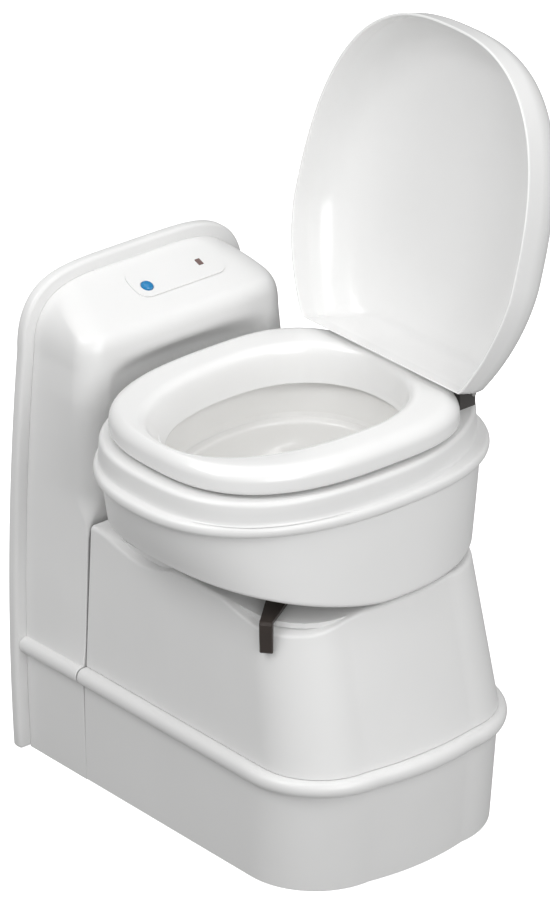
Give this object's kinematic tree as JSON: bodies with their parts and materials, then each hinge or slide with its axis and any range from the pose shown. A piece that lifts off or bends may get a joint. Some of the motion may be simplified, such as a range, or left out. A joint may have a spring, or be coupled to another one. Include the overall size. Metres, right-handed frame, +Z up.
{
  "type": "cassette toilet",
  "caption": "Caravan cassette toilet: swivelling bowl with seat and deep lid on a pedestal, flush-water console, sliding valve and slide-out wheeled waste tank.",
  "frame": {"origin": "on the floor, under the bowl's swivel axis, at the base tray's underside", "axes": "+Z up, +Y towards the wall that the console stands against, -Y towards the room; the bowl is stored turned so that its front points to -X"},
  "size_m": [0.5504, 0.572, 0.9539],
  "materials": {
    "shell_white": "satin gloss",
    "seat_white": "gloss",
    "liner_white": "gloss",
    "lever_brown": "satin",
    "hinge_grey": "matte",
    "button_blue": "gloss",
    "lens_smoke": "gloss",
    "tank_grey": "matte",
    "valve_grey": "matte",
    "cap_orange": "satin",
    "rubber_black": "matte",
    "steel": "brushed",
    "board_green": "matte",
    "water_tank": "matte"
  },
  "bodies": {
    "chassis": {"base_tray": "tank_grey", "floor_screw_1": "steel", "floor_screw_2": "steel", "floor_screw_3": "steel", "floor_screw_4": "steel", "lower_skirt": "shell_white", "upper_casing": "shell_white", "pedestal_deck": "valve_grey", "bearing_ring": "valve_grey", "console_shell": "shell_white", "control_panel": "shell_white", "level_lens": "lens_smoke", "circuit_box": "board_green", "wall_flange": "shell_white", "flush_tank": "water_tank", "filler_neck": "valve_grey", "flush_pump": "valve_grey", "flush_hose": "rubber_black"},
    "bowl": {"bowl_casing": "shell_white", "bowl_rim": "shell_white", "bowl_liner": "liner_white", "swivel_retainer": "valve_grey", "flush_nozzle": "liner_white", "hinge_bracket_left": "hinge_grey", "hinge_bracket_right": "hinge_grey", "hinge_pin_left": "steel", "hinge_pin_right": "steel"},
    "seat": {"seat_ring": "seat_white", "seat_bumper_1": "hinge_grey", "seat_bumper_2": "hinge_grey", "seat_bumper_3": "hinge_grey", "seat_bumper_4": "hinge_grey"},
    "lid": {"lid_shell": "seat_white"},
    "lever": {"blade_lever": "lever_brown"},
    "tank": {"tank_body": "tank_grey", "valve_housing": "valve_grey", "lip_seal": "rubber_black", "wheel_axle": "steel"},
    "rotor": {"valve_rotor": "cap_orange"},
    "blade": {"valve_blade": "valve_grey"},
    "cover": {"sliding_cover": "tank_grey"},
    "spout": {"pour_spout": "tank_grey"},
    "spout_cap": {"spout_cap": "cap_orange"},
    "vent_button": {"vent_button": "cap_orange"},
    "carry_handle": {"carry_handle": "valve_grey"},
    "wheel_right": {"tank_wheel_right": "rubber_black"},
    "wheel_left": {"tank_wheel_left": "rubber_black"},
    "latch": {"tank_latch": "cap_orange"},
    "flush_button": {"flush_button": "button_blue"},
    "filler_cap": {"filler_cap": "cap_orange"}
  },
  "joints": [
    {"name": "bowl_swivel", "type": "hinge", "parent": "chassis", "child": "bowl", "pos_m": [0, 0, 0.3525], "axis": [0, 0, 1], "range_deg": [0, 15]},
    {"name": "seat_hinge", "type": "hinge", "parent": "bowl", "child": "seat", "pos_m": [0.174, 0, 0.533], "axis": [0, -1, 0], "range_deg": [-94, 0]},
    {"name": "lid_hinge", "type": "hinge", "parent": "bowl", "child": "lid", "pos_m": [0.174, 0, 0.533], "axis": [0, -1, 0], "range_deg": [0, 105]},
    {"name": "lever_turn", "type": "hinge", "parent": "chassis", "child": "lever", "pos_m": [0, 0, 0.3456], "axis": [0, 0, -1], "range_deg": [0, 70]},
    {"name": "rotor_turn", "type": "hinge", "parent": "tank", "child": "rotor", "pos_m": [0, 0, 0.2826], "axis": [0, 0, -1], "range_deg": [0, 70]},
    {"name": "blade_slide", "type": "slide", "parent": "tank", "child": "blade", "axis": [0, -1, 0], "range_m": [0, 0.093]},
    {"name": "tank_slide", "type": "slide", "parent": "chassis", "child": "tank", "axis": [0, 1, 0], "range_m": [0, 0.47]},
    {"name": "cover_slide", "type": "slide", "parent": "tank", "child": "cover", "axis": [0, -1, 0], "range_m": [0, 0.111]},
    {"name": "spout_turn", "type": "hinge", "parent": "tank", "child": "spout", "pos_m": [0.06, 0.26, 0.235], "axis": [0, -1, 0], "range_deg": [0, 180]},
    {"name": "spout_cap_turn", "type": "hinge", "parent": "spout", "child": "spout_cap", "pos_m": [-0.018, 0.2865, 0.235], "axis": [1, 0, 0], "continuous": true},
    {"name": "vent_push", "type": "slide", "parent": "tank", "child": "vent_button", "axis": [0, -1, 0], "range_m": [0, 0.003], "stiffness_N_per_m": 400},
    {"name": "handle_turn", "type": "hinge", "parent": "tank", "child": "carry_handle", "pos_m": [0, 0.2615, 0.125], "axis": [1, 0, 0], "range_deg": [0, 90]},
    {"name": "wheel_turn_right", "type": "hinge", "parent": "tank", "child": "wheel_right", "pos_m": [0.125, -0.145, 0.0257], "axis": [1, 0, 0], "continuous": true},
    {"name": "wheel_turn_left", "type": "hinge", "parent": "tank", "child": "wheel_left", "pos_m": [-0.125, -0.145, 0.0257], "axis": [1, 0, 0], "continuous": true},
    {"name": "latch_turn", "type": "hinge", "parent": "chassis", "child": "latch", "pos_m": [0, 0.262, 0.0072], "axis": [1, 0, 0], "range_deg": [0, 85]},
    {"name": "flush_push", "type": "slide", "parent": "chassis", "child": "flush_button", "axis": [0, 0.3658, -0.9307], "range_m": [0, 0.0025], "stiffness_N_per_m": 400},
    {"name": "filler_cap_turn", "type": "hinge", "parent": "chassis", "child": "filler_cap", "pos_m": [0.085, 0.315, 0.48], "axis": [0, 1, 0], "continuous": true}
  ],
  "couplings": [
    {"joint": "rotor_turn", "follows": "lever_turn", "ratio": 1},
    {"joint": "blade_slide", "follows": "lever_turn", "m_per_rad": 0.076}
  ]
}
